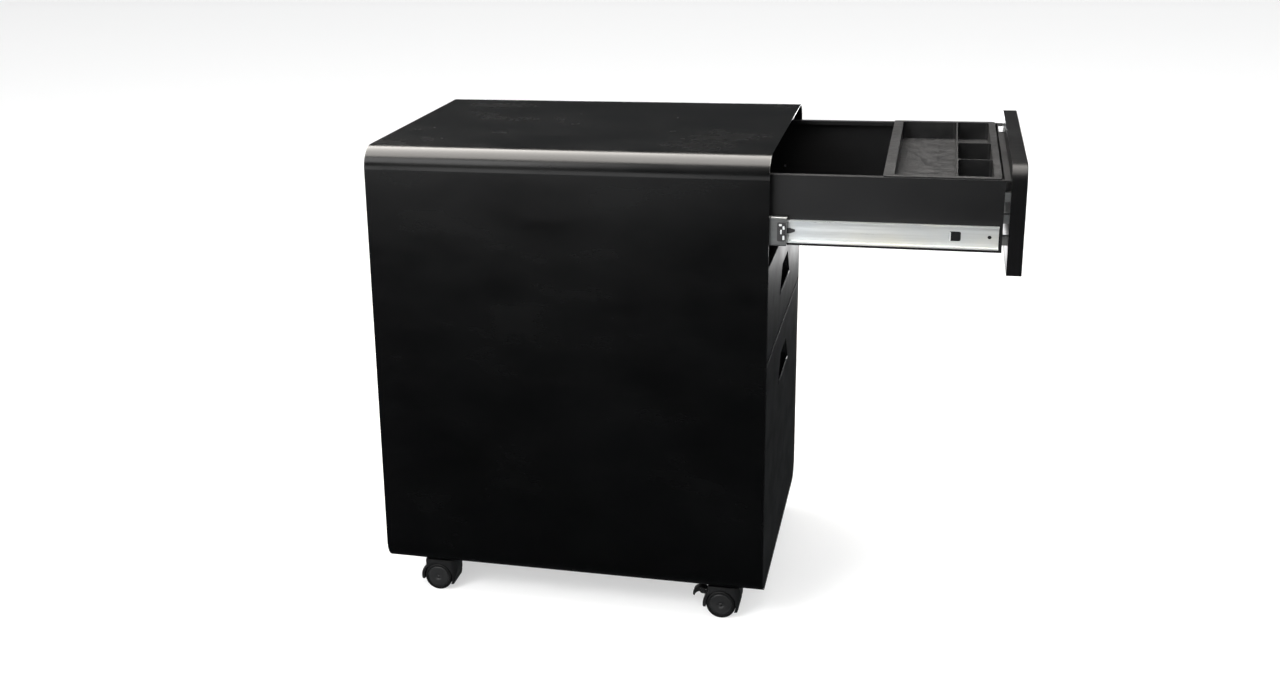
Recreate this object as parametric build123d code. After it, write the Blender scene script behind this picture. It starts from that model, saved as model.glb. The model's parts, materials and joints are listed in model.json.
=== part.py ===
"""Rolling pedestal cabinet: steel casing, two box drawers and a file drawer on telescopic slides, four casters.

Millimetres. +Z is up, the drawers open towards -Y, and +X is to the right as seen from the front.
The origin lies on the floor under the middle of the casing.
The model is at rest with the top drawer pulled out and the other two shut.
"""
import os

from build123d import *

# overall sizes
WIDTH = 400.0
DEPTH = 502.0
HEIGHT = 610.0
CASTER_HEIGHT = 46.0

# casing
CORNER_R = 27.0
CASING_SHEET = 1.0
BACK_INSET = 1.0
BACK_FLANGE = 14.0
BACK_CORNER_EASE = 1.5
CHANNEL_WIDTH = 44.0
CHANNEL_RISE = 12.0
CHANNEL_SHEET = 2.0
UPRIGHT_SHEET = 1.3
UPRIGHT_WIDTH = 36.0
UPRIGHT_INSET = 22.0

# drawer fronts
FRONT_GAP = 3.0
FRONT_SPACE = 4.0
FRONT_DEPTH = 17.0
FRONT_SHEET = 1.2
FRONT_EDGE_R = 1.0
FRONT_SQUARE_R = 2.0
TOP_FRONT_HEIGHT = 127.0
MIDDLE_FRONT_HEIGHT = 118.0
LINER_SHEET = 1.0
WELD_GAP = 0.05

# finger pulls
PULL_DROP = 37.0
PULL_HEIGHT = 35.0
PULL_WIDTH = 120.0
PULL_TOP_WIDTH = 66.0
PULL_DEPTH = 12.0
PULL_POCKET = 12.0
PULL_SHEET = 1.0
PULL_WELD_RIM = 3.0

# drawer boxes
BOX_SHEET = 0.9
BOX_DROP = 19.0
BOX_HEIGHT = 84.0
FILE_BOX_LIFT = 30.0
BOX_HEM = 9.0
BOX_HEM_LIP = 5.0
SPACER_GAP = 6.0
SPACER_WIDTH = 11.0
SPACER_HEIGHT = 10.0
SPACER_MARGIN = 14.0
SPACERS_PER_SIDE = 3

# telescopic slides
SLIDE_WIDTH = 12.7
SLIDE_REAR_CLEARANCE = 11.0
SLIDE_SHEET = 1.2
SLIDE_BEND_R = 1.8
OUTER_HEIGHT = 45.6
OUTER_LIP = 9.8
STAGE_HEIGHT = 35.0
STAGE_SETBACK = 10.0
STAGE_WEB_AT = 3.4
STAGE_LIP = 10.8
INNER_HEIGHT = 26.6
INNER_LIP = 5.4
INNER_SETBACK = 10.0
INNER_START = 1.0
INNER_SCREW_SHARES = (0.62, 0.92)
BALL_CLEARANCE = 0.05
CAGE_LENGTH = 120.0
CAGE_INSET = 2.0
CAGE_SHEET = 0.8
CAGE_WIDTH = 4.6
CAGE_HOLE_EASE = 0.15
BALLS_PER_ROW = 4
SLIDE_DROP = 85.0
FILE_SLIDE_RISE = 77.0
SLIDE_HOLE_D = 4.5
SLIDE_HOLE_AT = 10.0
SLIDE_WINDOW = (13.0, 11.5)
SLIDE_WINDOW_AT = 48.0
TOP_DRAWER_OPEN = 285.0
TOP_STAGE_OPEN = 46.0

# pencil tray
TRAY_WALL = 1.6
TRAY_DEPTH = 24.0
TRAY_LENGTH = 131.0
TRAY_SETBACK = 3.0
TRAY_RIM = 8.0
TRAY_REAR_RIM = 12.0
TRAY_SIDE_CLEARANCE = 1.0
TRAY_FRONT_POCKET = 40.0
TRAY_DIVIDERS = (-0.22, 0.08)
TRAY_CORNER_R = 4.0

# file rails
RAIL_INSET = 20.0
RAIL_SHEET = 2.5
RAIL_HEIGHT = 14.0
RAIL_NOTCH = 6.0

# lock
LOCK_INSET = 38.0
LOCK_DROP = 38.0
LOCK_BODY_D = 19.0
LOCK_FLANGE_D = 23.0
LOCK_FLANGE = 1.2
LOCK_PLUG_D = 12.0
LOCK_HOLE_EASE = 0.1
KEYWAY = (1.6, 7.0)
KEYWAY_DEPTH = 6.0
CAM_SHEET = 1.5
CAM_WIDTH = 10.0
CAM_CLEARANCE = 0.4
CATCH_SHEET = 1.0
CATCH_WIDTH = 20.0
CATCH_DROP = 14.0
CAM_REACH = 36.0
CAM_BOSS = 1.0
NOTCH_CLEARANCE = 2.0

# casters
STEM_SIDE_INSET = 38.0
STEM_FRONT_INSET = 42.5
STEM_REAR_INSET = 76.0
STEM_THREAD_D = 10.0
STEM_PIN_D = 8.0
STEM_COLLAR_D = 18.0
STEM_PIN_DEPTH = 17.0
STEM_HOLE_EASE = 0.2
NUT_FLATS = 16.0
NUT_HEIGHT = 8.0
STEM_TOP_SPARE = 2.0
WHEEL_D = 38.0
WHEEL_FACE = 11.0
WHEEL_SPACE = 15.0
WHEEL_TREAD_R = 2.5
WHEEL_RECESS = 1.2
WHEEL_RIM = 4.0
WHEEL_HOLLOW = 6.5
WHEEL_HUB_R = 5.0
TRAIL = 13.0
AXLE_D = 5.0
AXLE_END_COVER = 2.5
RUN_CLEARANCE = 0.05
HOOD_GAP = 0.4
HOOD_COLLAR = 2.0
HOOD_WHEEL_GAP = 0.9
HOOD_WEB = 13.0
HOOD_SHELL = 3.4
HOOD_BACK = 16.5
HOOD_NOSE = 10.0
HOOD_NOSE_BULGE = 2.2
HOOD_NOSE_R = 9.0
HOOD_REAR_TIP = 4.5
HOOD_FRONT_TIP = 9.5
HOOD_HUB_R = 7.5
PEDAL_WIDTH = 9.4
PEDAL_PIVOT = (25.0, 12.0)
PEDAL_PIN_D = 3.0
PEDAL_HUB_R = 3.0
PEDAL_CLAW_MIDDLE = (7.4, 3.0)
PEDAL_TIP = (12.8, -8.0)
PEDAL_TIP_CUT = (11.0, -9.4)
PEDAL_CLAW_HOLLOW = (6.4, -3.2)
EAR_THICKNESS = 2.0
EAR_GAP = 0.3
EAR_MARGIN = 1.0
EAR_ROOT = 17.0
PEDAL_SWING_GAP = 1.5

# screws
SCREW_D = 4.0
SCREW_HEAD_D = 7.4
SCREW_HEAD = 1.6
SCREW_HOLE_EASE = 0.1

# how far a cutting shape runs past the face that it opens
PAST = 1.0

# derived levels and planes
casing_base = CASTER_HEIGHT
casing_height = HEIGHT - CASTER_HEIGHT
front_y = -DEPTH / 2
back_y = DEPTH / 2
inner_half = WIDTH / 2 - CASING_SHEET
inner_top = HEIGHT - CASING_SHEET
floor_z = casing_base + CASING_SHEET
front_half = inner_half - FRONT_GAP
front_corner = CORNER_R - CASING_SHEET - FRONT_GAP
slide_outer_x = inner_half - UPRIGHT_SHEET
box_half = slide_outer_x - SLIDE_WIDTH
liner_y = front_y + FRONT_DEPTH
box_front_y = liner_y + SPACER_GAP
slide_front_y = box_front_y + FRONT_GAP
slide_back_y = back_y - BACK_INSET - BACK_FLANGE - SLIDE_REAR_CLEARANCE
box_back_y = slide_back_y - FRONT_GAP
slide_length = slide_back_y - slide_front_y
stage_length = slide_length - STAGE_SETBACK
inner_slide_y = slide_front_y + INNER_START
file_front_height = (inner_top - floor_z - 2 * FRONT_GAP - 2 * FRONT_SPACE
                     - TOP_FRONT_HEIGHT - MIDDLE_FRONT_HEIGHT)
top_front_z = inner_top - FRONT_GAP
middle_front_z = top_front_z - TOP_FRONT_HEIGHT - FRONT_SPACE
file_front_z = middle_front_z - MIDDLE_FRONT_HEIGHT - FRONT_SPACE
file_box_height = file_front_height - BOX_DROP - FILE_BOX_LIFT
file_slide_drop = BOX_DROP + file_box_height - FILE_SLIDE_RISE
stem_x = WIDTH / 2 - STEM_SIDE_INSET
front_stem_y = front_y + STEM_FRONT_INSET
rear_stem_y = back_y - STEM_REAR_INSET
stem_points = [(stem_x * side, y) for y in (front_stem_y, rear_stem_y) for side in (-1, 1)]
upright_ys = (front_y + UPRIGHT_INSET + SPACER_GAP + FRONT_DEPTH + UPRIGHT_WIDTH / 2,
              slide_back_y - UPRIGHT_INSET - UPRIGHT_WIDTH / 2)

os.makedirs("parts", exist_ok=True)


def save(name, *shapes):
    """Write one node as separate solids."""
    solids = [solid for shape in shapes for solid in shape.solids()]
    export_step(solids[0] if len(solids) == 1 else Compound(solids), f"parts/{name}.step")


def block(x0, x1, y0, y1, z0, z1):
    """A box between two corners, given in any order."""
    centre = Pos((x0 + x1) / 2, (y0 + y1) / 2, (z0 + z1) / 2)
    return centre * Box(abs(x1 - x0), abs(y1 - y0), abs(z1 - z0))


def along_y(sketch, y0, y1):
    """Extrude a sketch drawn in x and z from y0 back to y1."""
    return extrude(Plane(origin=(0, y1, 0), x_dir=(1, 0, 0), z_dir=(0, -1, 0)) * sketch, y1 - y0)


def along_x(sketch, x0, x1):
    """Extrude a sketch drawn in y and z from x0 to x1."""
    return extrude(Plane(origin=(x0, 0, 0), x_dir=(0, 1, 0), z_dir=(1, 0, 0)) * sketch, x1 - x0)


def rod_x(radius, x0, x1, y, z):
    return Pos((x0 + x1) / 2, y, z) * Rot(0, 90, 0) * Cylinder(radius, abs(x1 - x0))


def rod_y(radius, y0, y1, x, z):
    return Pos(x, (y0 + y1) / 2, z) * Rot(90, 0, 0) * Cylinder(radius, abs(y1 - y0))


def rod_z(radius, z0, z1, x, y):
    return Pos(x, y, (z0 + z1) / 2) * Cylinder(radius, abs(z1 - z0))


def mirrored(shape):
    return mirror(shape, Plane.YZ)


# ---------------------------------------------------------------- casing

def casing_wrap():
    middle = casing_base + casing_height / 2
    outline = RectangleRounded(WIDTH, casing_height, CORNER_R)
    hollow = RectangleRounded(2 * inner_half, casing_height - 2 * CASING_SHEET, CORNER_R - CASING_SHEET)
    wrap = along_y(Pos(0, middle) * (outline - hollow), front_y, back_y)
    for x, y in stem_points:
        wrap -= rod_z(STEM_THREAD_D / 2 + STEM_HOLE_EASE, casing_base - PAST, floor_z + PAST, x, y)
    return wrap


def back_panel():
    middle = casing_base + casing_height / 2
    high = casing_height - 2 * CASING_SHEET
    corner = CORNER_R - CASING_SHEET + BACK_CORNER_EASE
    outline = RectangleRounded(2 * inner_half, high, corner)
    hollow = RectangleRounded(2 * (inner_half - CASING_SHEET), high - 2 * CASING_SHEET, corner - CASING_SHEET)
    rear = back_y - BACK_INSET
    plate = along_y(Pos(0, middle) * outline, rear - CASING_SHEET, rear)
    return plate + along_y(Pos(0, middle) * (outline - hollow), rear - BACK_FLANGE, rear)


def caster_channel(y):
    """An inverted channel across the floor that spreads the casters' load."""
    half = WIDTH / 2 - CORNER_R - CASING_SHEET
    top = floor_z + CHANNEL_RISE
    outer = block(-half, half, y - CHANNEL_WIDTH / 2, y + CHANNEL_WIDTH / 2, floor_z, top)
    inset = CHANNEL_WIDTH / 2 - CHANNEL_SHEET
    channel = outer - block(-half - PAST, half + PAST, y - inset, y + inset, floor_z - PAST, top - CHANNEL_SHEET)
    for side in (-1, 1):
        hole = STEM_THREAD_D / 2 + STEM_HOLE_EASE
        channel -= rod_z(hole, floor_z, top + PAST, stem_x * side, y)
    return channel


def upright(y):
    """A strip welded inside the left wall that carries the outer slide members."""
    low = casing_base + CORNER_R + FRONT_GAP
    high = HEIGHT - CORNER_R - FRONT_GAP
    strip = block(-inner_half, -slide_outer_x, y - UPRIGHT_WIDTH / 2, y + UPRIGHT_WIDTH / 2, low, high)
    for drawer_z in slide_levels:
        strip -= rod_x(SCREW_D / 2 + SCREW_HOLE_EASE, -inner_half - PAST, -slide_outer_x + PAST, y, drawer_z)
    return strip


# ---------------------------------------------------------------- slides

def channel_section(web_x, lip_x, height):
    """A C section for the left side: the web is at web_x and the flanges end at lip_x."""
    reach = abs(lip_x - web_x)
    outline = RectangleRounded(2 * reach, height, SLIDE_BEND_R)
    hollow = RectangleRounded(2 * (reach - SLIDE_SHEET), height - 2 * SLIDE_SHEET, SLIDE_BEND_R - SLIDE_SHEET)
    side = 1 if web_x > lip_x else -1
    half = Pos(side * reach / 2, 0) * Rectangle(reach, height)
    return (outline - hollow) & half


def slide_member(web_x, lip_x, height, y0, length, level):
    """A member of the left slide, with x counted from the slide's mounting face."""
    section = channel_section(web_x, lip_x, height)
    return along_y(Pos(-slide_outer_x + lip_x, level) * section, y0, y0 + length)


def screw_x(x, y, z, length, towards):
    """A low pan-head screw along x: the head's underside is at x and the shank points the way of towards."""
    head = rod_x(SCREW_HEAD_D / 2, x, x - towards * SCREW_HEAD, y, z)
    return head + rod_x(SCREW_D / 2, x - towards * SCREW_HEAD / 2, x + towards * length, y, z)


def screw_y(x, y, z, length):
    """A low pan-head screw along y: the head's underside is at y and the shank points forward."""
    head = rod_y(SCREW_HEAD_D / 2, y, y + SCREW_HEAD, x, z)
    return head + rod_y(SCREW_D / 2, y + SCREW_HEAD / 2, y - length, x, z)


def outer_member(level):
    member = slide_member(0, OUTER_LIP, OUTER_HEIGHT, slide_front_y, slide_length, level)
    for y in upright_ys:
        web = (-slide_outer_x - PAST, -slide_outer_x + SLIDE_SHEET + PAST)
        member -= rod_x(SCREW_D / 2 + SCREW_HOLE_EASE, *web, y, level)
    return member


def outer_screws(level):
    x = -slide_outer_x + SLIDE_SHEET
    return [screw_x(x, y, level, SLIDE_SHEET + UPRIGHT_SHEET, -1) for y in upright_ys]


def stage_member(level):
    return slide_member(STAGE_WEB_AT, STAGE_LIP, STAGE_HEIGHT, slide_front_y, stage_length, level)


def ball_row(x, z, y0, ball_d):
    """A strip cage with its balls, lying flat between two races."""
    middle = y0 + CAGE_LENGTH / 2
    cage = Pos(x, middle, z) * Box(CAGE_WIDTH, CAGE_LENGTH, CAGE_SHEET)
    pitch = CAGE_LENGTH / BALLS_PER_ROW
    balls = []
    for index in range(BALLS_PER_ROW):
        y = y0 + pitch * (index + 0.5)
        cage -= rod_z(ball_d / 2 + CAGE_HOLE_EASE, z - CAGE_SHEET, z + CAGE_SHEET, x, y)
        balls.append(Pos(x, y, z) * Sphere(ball_d / 2))
    return [cage, *balls]


def ball_rows(level):
    """The left slide's four rows: the inner rows are at the stage's front, the outer rows at its back."""
    stage_half = STAGE_HEIGHT / 2
    inner_gap = stage_half - SLIDE_SHEET - INNER_HEIGHT / 2
    outer_gap = OUTER_HEIGHT / 2 - SLIDE_SHEET - stage_half
    inner_z = INNER_HEIGHT / 2 + inner_gap / 2
    outer_z = stage_half + outer_gap / 2
    inner_x = -slide_outer_x + (INNER_LIP + STAGE_LIP) / 2
    outer_x = -slide_outer_x + (STAGE_WEB_AT + OUTER_LIP) / 2
    rear = slide_front_y + stage_length - 2 * CAGE_LENGTH
    rows = []
    for side in (-1, 1):
        inner_d = inner_gap - 2 * BALL_CLEARANCE
        outer_d = outer_gap - 2 * BALL_CLEARANCE
        rows += ball_row(inner_x, level + side * inner_z, slide_front_y + CAGE_INSET, inner_d)
        rows += ball_row(outer_x, level + side * outer_z, rear, outer_d)
    return rows


def inner_screw_ys():
    return [inner_slide_y + slide_length * share for share in INNER_SCREW_SHARES]


def inner_member(level):
    member = slide_member(SLIDE_WIDTH, INNER_LIP, INNER_HEIGHT, inner_slide_y, slide_length - INNER_SETBACK, level)
    web = (-box_half - 2 * SLIDE_SHEET, -box_half + PAST)
    wide, high = SLIDE_WINDOW
    window = Pos(inner_slide_y + SLIDE_WINDOW_AT, level) * RectangleRounded(wide, high, FRONT_SQUARE_R)
    member -= along_x(window, *web)
    member -= rod_x(SLIDE_HOLE_D / 2, *web, inner_slide_y + SLIDE_HOLE_AT, level)
    for y in inner_screw_ys():
        member -= rod_x(SCREW_D / 2 + SCREW_HOLE_EASE, *web, y, level)
    return member


def inner_screws(level):
    return [screw_x(-box_half - SLIDE_SHEET, y, level, SLIDE_SHEET + BOX_SHEET, 1) for y in inner_screw_ys()]


# ---------------------------------------------------------------- drawers

def front_outline(top, high, round_top, round_bottom, inset):
    """The outline of a drawer front in x and z, drawn in from its edge by inset."""
    sketch = Rectangle(2 * (front_half - inset), high - 2 * inset)
    rows = sketch.vertices().group_by(Axis.Y)
    sketch = fillet(rows[-1], (front_corner if round_top else FRONT_SQUARE_R) - inset)
    rows = sketch.vertices().group_by(Axis.Y)
    sketch = fillet(rows[0], (front_corner if round_bottom else FRONT_SQUARE_R) - inset)
    return Pos(0, top - high / 2) * sketch


def pull_outline(top, low, low_width):
    half = low_width / 2
    return make_face(Polyline((-half, low), (half, low), (PULL_TOP_WIDTH / 2, top), (-PULL_TOP_WIDTH / 2, top),
                              close=True))


def front_skin(top, high, round_top, round_bottom):
    """The folded front pan, with the finger pull's opening."""
    solid = along_y(front_outline(top, high, round_top, round_bottom, 0), front_y, liner_y)
    face = solid.faces().sort_by(Axis.Y)[0]
    solid = fillet(face.edges(), FRONT_EDGE_R)
    hollow = front_outline(top, high, round_top, round_bottom, FRONT_SHEET)
    solid -= along_y(hollow, front_y + FRONT_SHEET, liner_y + PAST)
    opening = pull_outline(top - PULL_DROP, top - PULL_DROP - PULL_HEIGHT, PULL_WIDTH)
    return solid - along_y(opening, front_y - PAST, front_y + 2 * FRONT_SHEET)


def pull_wedge(top, grow, depth):
    """The space of a finger pull: a slope that leads down into a pocket behind the lower lip."""
    high = top - PULL_DROP + grow
    low = top - PULL_DROP - PULL_HEIGHT
    face_y = front_y + FRONT_SHEET
    side = Polyline((face_y, high), (face_y + depth, low + grow), (face_y + depth, low - PULL_POCKET - grow),
                    (face_y, low - PULL_POCKET - grow), close=True)
    half = PULL_WIDTH / 2 + grow
    wedge = along_x(make_face(side), -half, half)
    top_half = PULL_TOP_WIDTH / 2 + grow
    outline = Polyline((-half, low - PULL_POCKET - grow), (half, low - PULL_POCKET - grow), (half, low),
                       (top_half, high), (-top_half, high), (-half, low), close=True)
    return wedge & along_y(make_face(outline), face_y, face_y + depth)


def pull_scoop(top):
    outer = pull_wedge(top, PULL_WELD_RIM / 2, PULL_DEPTH)
    return outer - pull_wedge(top, PULL_WELD_RIM / 2 - PULL_SHEET, PULL_DEPTH - PULL_SHEET)


def front_liner(top, high, round_top, round_bottom, lock_at):
    outline = front_outline(top, high, round_top, round_bottom, FRONT_SHEET + WELD_GAP)
    liner = along_y(outline, liner_y - LINER_SHEET, liner_y)
    if lock_at:
        liner -= rod_y(LOCK_BODY_D / 2 + LOCK_HOLE_EASE, liner_y - LINER_SHEET - PAST, liner_y + PAST, *lock_at)
    return liner


def drawer_box(low, high):
    """The floor, two sides and back of a welded box, each a folded sheet, with hemmed top edges."""
    y0, y1 = box_front_y, box_back_y
    tub = block(-box_half, box_half, y0, y1, low, high)
    inside = box_half - BOX_SHEET
    tub -= block(-inside, inside, y0 - PAST, y1 - BOX_SHEET, low + BOX_SHEET, high + PAST)
    hem_front = y0 + 2 * BOX_SHEET
    hem_half = box_half - BOX_HEM
    hem = block(-box_half, box_half, hem_front, y1, high - BOX_HEM_LIP, high)
    under = high - BOX_HEM_LIP - PAST
    hem -= block(-hem_half, hem_half, hem_front - PAST, y1 - BOX_HEM, under, high + PAST)
    groove = block(-inside, inside, hem_front - PAST, y1 - BOX_SHEET, under, high - BOX_SHEET)
    lip_half = hem_half + BOX_SHEET
    groove -= block(-lip_half, lip_half, hem_front - 2 * PAST, y1 - BOX_HEM + BOX_SHEET, low, high + PAST)
    box = tub + (hem - groove)
    above = low + BOX_SHEET
    front, rear = y0 - PAST, y1 + PAST
    floor = box & block(-box_half, box_half, front, rear, low, above)
    side = box & block(-box_half, -hem_half, front, rear, above, high)
    back = box & block(-hem_half, hem_half, front, rear, above, high)
    return [floor, side, mirrored(side), back]


def fixing_levels(low, high):
    """Heights of the spacers and screws between a box and its front."""
    first = low + SPACER_MARGIN
    step = (high - low - BOX_HEM - SPACER_HEIGHT - SPACER_MARGIN) / (SPACERS_PER_SIDE - 1)
    return [first + step * index for index in range(SPACERS_PER_SIDE)]


def fixing_x():
    return box_half - SPACER_WIDTH / 2


def inner_front(low, high, lock_at):
    """The box's front wall, with a top flange that leans on the drawer front."""
    half = box_half - BOX_SHEET - WELD_GAP
    wall = block(-half, half, box_front_y, box_front_y + BOX_SHEET, low + BOX_SHEET, high)
    flange = block(-half, half, liner_y + WELD_GAP, box_front_y + BOX_SHEET, high - BOX_SHEET, high)
    if lock_at:
        right = lock_at[0] + CAM_WIDTH / 2 + NOTCH_CLEARANCE
        left = lock_at[0] - CAM_REACH - NOTCH_CLEARANCE
        flange -= block(left, right, liner_y, box_front_y, high - 2 * BOX_SHEET, high + PAST)
    wall += flange
    for side in (-1, 1):
        for z in fixing_levels(low, high):
            hole = SCREW_D / 2 + SCREW_HOLE_EASE
            wall -= rod_y(hole, box_front_y - PAST, box_front_y + BOX_SHEET + PAST, side * fixing_x(), z)
    return wall


def front_spacers(low, high):
    spacers = []
    for z in fixing_levels(low, high):
        spacer = block(-box_half, -box_half + SPACER_WIDTH, liner_y, box_front_y,
                       z - SPACER_HEIGHT / 2, z + SPACER_HEIGHT / 2)
        spacer -= rod_y(SCREW_D / 2 + SCREW_HOLE_EASE, liner_y - PAST, box_front_y + PAST, -fixing_x(), z)
        spacers += [spacer, mirrored(spacer)]
    return spacers


def front_screws(low, high):
    screws = []
    for z in fixing_levels(low, high):
        screw = screw_y(-fixing_x(), box_front_y + BOX_SHEET, z, BOX_SHEET + SPACER_GAP)
        screws += [screw, mirrored(screw)]
    return screws


def save_drawer(name, top, high, box_high, slide_drop, round_top=False, round_bottom=False, lock_at=None, move=0.0):
    """Write the nodes that every drawer has, moved out along y by move."""
    box_top = top - BOX_DROP
    box_low = box_top - box_high
    level = top - slide_drop
    skin = front_skin(top, high, round_top, round_bottom)
    if lock_at:
        skin -= rod_y(LOCK_BODY_D / 2 + LOCK_HOLE_EASE, front_y - PAST, front_y + 2 * FRONT_SHEET, *lock_at)
    inner = inner_member(level)
    floor, side, other_side, back = drawer_box(box_low, box_top)
    fixings = inner_screws(level)
    for y in inner_screw_ys():
        hole = rod_x(SCREW_D / 2 + SCREW_HOLE_EASE, -box_half - PAST, -box_half + BOX_SHEET + PAST, y, level)
        side -= hole
        other_side -= mirrored(hole)
    fixings += [mirrored(screw) for screw in fixings]
    out = Pos(0, -move, 0)
    save(f"{name}_front", out * skin)
    save(f"{name}_pull_scoop", out * pull_scoop(top))
    save(f"{name}_front_liner", out * front_liner(top, high, round_top, round_bottom, lock_at))
    save(f"{name}_box", *[out * part for part in (floor, side, other_side, back)])
    save(f"{name}_box_front_wall", out * inner_front(box_low, box_top, lock_at))
    save(f"{name}_front_spacers", *[out * part for part in front_spacers(box_low, box_top)])
    save(f"{name}_screws", *[out * part for part in front_screws(box_low, box_top) + fixings])
    save(f"{name}_slide_inner", out * inner, out * mirrored(inner))


def save_slide(name, level, move=0.0):
    """Write a drawer's fixed outer members and its travelling stage."""
    outer = outer_member(level)
    stage = stage_member(level)
    rows = ball_rows(level)
    out = Pos(0, -move, 0)
    save(f"{name}_slide_outer", outer, mirrored(outer))
    save(f"{name}_slide_stage", out * stage, out * mirrored(stage))
    save(f"{name}_ball_cages", *[out * row for row in rows], *[out * mirrored(row) for row in rows])


def pencil_tray():
    """A moulded tray that hangs by its rim on the hems of the top drawer's box."""
    rest = top_front_z - BOX_DROP
    half = box_half - BOX_HEM - TRAY_SIDE_CLEARANCE
    y0 = box_front_y + BOX_SHEET + TRAY_SETBACK
    y1 = y0 + TRAY_LENGTH
    rim_high = rest + TRAY_WALL
    body = block(-half, half, y0 + TRAY_WALL, y1 - TRAY_RIM, rim_high - TRAY_DEPTH, rim_high)
    body = fillet(body.edges().filter_by(Axis.Z), TRAY_CORNER_R + TRAY_WALL)
    rim = block(-half - TRAY_RIM, half + TRAY_RIM, y0, y1, rest, rim_high)
    rim = fillet(rim.edges().filter_by(Axis.Z), TRAY_CORNER_R)
    tray = body + rim
    inside = half - TRAY_WALL
    pocket_y0 = y0 + TRAY_RIM
    split = pocket_y0 + TRAY_FRONT_POCKET
    pocket_y1 = y1 - TRAY_REAR_RIM
    edges = [-inside] + [2 * inside * share for share in TRAY_DIVIDERS] + [inside]
    walls = [0.0] + [TRAY_WALL / 2] * len(TRAY_DIVIDERS) + [0.0]
    pockets = [(edges[i] + walls[i], edges[i + 1] - walls[i + 1], pocket_y0, split) for i in range(len(edges) - 1)]
    pockets.append((-inside, inside, split + TRAY_WALL, pocket_y1))
    for x0, x1, low_y, high_y in pockets:
        pocket = block(x0, x1, low_y, high_y, rim_high - TRAY_DEPTH + TRAY_WALL, rim_high + PAST)
        tray -= fillet(pocket.edges().filter_by(Axis.Z), TRAY_CORNER_R)
    return tray


def file_rails(top):
    """Two loose flat rails for hanging folders, notched over the box's front and back walls."""
    rails = []
    y0 = box_front_y + BOX_SHEET + WELD_GAP
    y1 = box_back_y - BOX_SHEET - WELD_GAP
    x = box_half - RAIL_INSET
    for side in (-1, 1):
        edge = side * x
        rail = block(edge, edge + side * RAIL_SHEET, y0, y1, top - BOX_HEM_LIP - RAIL_HEIGHT, top - BOX_HEM_LIP)
        rail += block(edge, edge + side * RAIL_SHEET, y0 + BOX_SHEET, y1 - BOX_HEM, top - RAIL_NOTCH, top)
        rails.append(rail)
    return rails


# ---------------------------------------------------------------- lock

def lock_parts(lock_at):
    """Housing, plug and cam of the lock, with the drawer shut."""
    x, z = lock_at
    cam_y = liner_y + CATCH_SHEET + 2 * CAM_CLEARANCE
    housing = rod_y(LOCK_BODY_D / 2, front_y, liner_y, x, z)
    housing += rod_y(LOCK_FLANGE_D / 2, front_y - LOCK_FLANGE, front_y, x, z)
    housing -= rod_y(LOCK_PLUG_D / 2 + RUN_CLEARANCE, front_y - LOCK_FLANGE - PAST, liner_y + PAST, x, z)
    plug = rod_y(LOCK_PLUG_D / 2, front_y - LOCK_FLANGE, cam_y, x, z)
    wide, high = KEYWAY
    face_y = front_y - LOCK_FLANGE - PAST
    plug -= block(x - wide / 2, x + wide / 2, face_y, front_y + KEYWAY_DEPTH, z - high / 2, z + high / 2)
    arm = block(x - CAM_REACH, x, cam_y, cam_y + CAM_SHEET, z - CAM_WIDTH / 2, z + CAM_WIDTH / 2)
    cam = arm + rod_y(CAM_WIDTH / 2 + CAM_BOSS, cam_y, cam_y + CAM_SHEET, x, z)
    return housing, plug, cam


def lock_catch(lock_at):
    """A tab under the casing's top that the cam turns up behind."""
    x = lock_at[0]
    y = liner_y + CAM_CLEARANCE
    half = CATCH_WIDTH / 2
    tab = block(x - half, x + half, y, y + CATCH_SHEET, inner_top - CATCH_DROP, inner_top)
    return tab + block(x - half, x + half, y, y + CATCH_WIDTH / 2, inner_top - CATCH_SHEET, inner_top)


# ---------------------------------------------------------------- casters

wheel_z = WHEEL_D / 2
hood_top = casing_base - HOOD_COLLAR
wheel_inner = WHEEL_SPACE / 2
wheel_outer = wheel_inner + WHEEL_FACE


def caster_stem(x, y):
    """A threaded stem with a collar, and a plain pin below that the hood turns on."""
    top = floor_z + CHANNEL_RISE + NUT_HEIGHT + STEM_TOP_SPARE
    stem = rod_z(STEM_THREAD_D / 2, casing_base, top, x, y)
    stem += rod_z(STEM_COLLAR_D / 2, hood_top + HOOD_GAP, casing_base, x, y)
    return stem + rod_z(STEM_PIN_D / 2, hood_top - STEM_PIN_DEPTH, casing_base, x, y)


def caster_nut(x, y):
    base = floor_z + CHANNEL_RISE
    nut = extrude(Plane(origin=(x, y, base)) * RegularPolygon(NUT_FLATS / 2, 6, major_radius=False), NUT_HEIGHT)
    return nut - rod_z(STEM_THREAD_D / 2, base - PAST, base + NUT_HEIGHT + PAST, x, y)


def hood_profile():
    """The side of a hood in y and z, with y counted back from the wheel's centre.

    A ring round the wheel ends in a tip each side, with an upright back and a bulging nose above it.
    """
    radius = WHEEL_D / 2 + HOOD_WHEEL_GAP + HOOD_SHELL
    shell = Pos(0, wheel_z) * Circle(radius)
    reach = 2 * radius
    shell -= make_face(Polyline((-reach, 0), (-reach, wheel_z - HOOD_FRONT_TIP), (0, wheel_z - HOOD_FRONT_TIP),
                                (0, wheel_z - HOOD_REAR_TIP), (reach, wheel_z - HOOD_REAR_TIP), (reach, 0),
                                close=True))
    nose = TRAIL + HOOD_NOSE
    middle = (wheel_z + hood_top) / 2
    front = ThreePointArc((-radius, wheel_z), (-nose - HOOD_NOSE_BULGE, middle), (-nose, hood_top))
    rest = Polyline((-nose, hood_top), (HOOD_BACK, hood_top), (HOOD_BACK, wheel_z), (-radius, wheel_z))
    return shell + make_face(front + rest) + Pos(0, wheel_z) * Circle(HOOD_HUB_R)


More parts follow.
